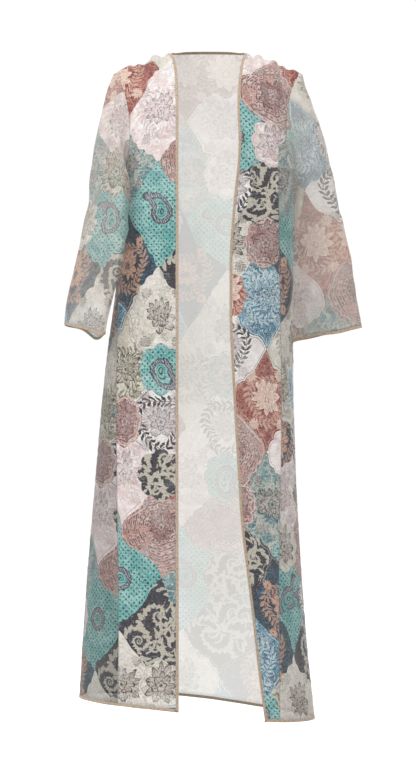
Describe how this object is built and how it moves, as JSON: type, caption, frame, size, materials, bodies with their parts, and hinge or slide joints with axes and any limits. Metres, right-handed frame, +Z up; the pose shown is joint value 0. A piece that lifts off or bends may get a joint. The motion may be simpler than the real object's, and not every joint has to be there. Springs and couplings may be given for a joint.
{
  "type": "kimono",
  "caption": "Long open-front kimono jacket in thin printed cloth with set-in sleeves and narrow bound edges, filled out as worn",
  "frame": {"origin": "mount shoulders: the middle of the shoulder line, where a wearer holds the garment up", "axes": "+Z up, -Y the way the wearer faces, +X the wearer's left"},
  "size_m": [0.598, 0.2971, 1.3411],
  "materials": {
    "cloth": "thin, slightly sheer printed crepe with a soft matt face",
    "binding": "plain tan binding tape with a slight sheen"
  },
  "bodies": {
    "root": {"back": "cloth", "front_right": "cloth", "front_left": "cloth", "sleeve_right": "cloth", "sleeve_left": "cloth", "binding_front_neck": "binding", "binding_hem": "binding", "binding_cuff_right": "binding", "binding_cuff_left": "binding"}
  },
  "joints": []
}
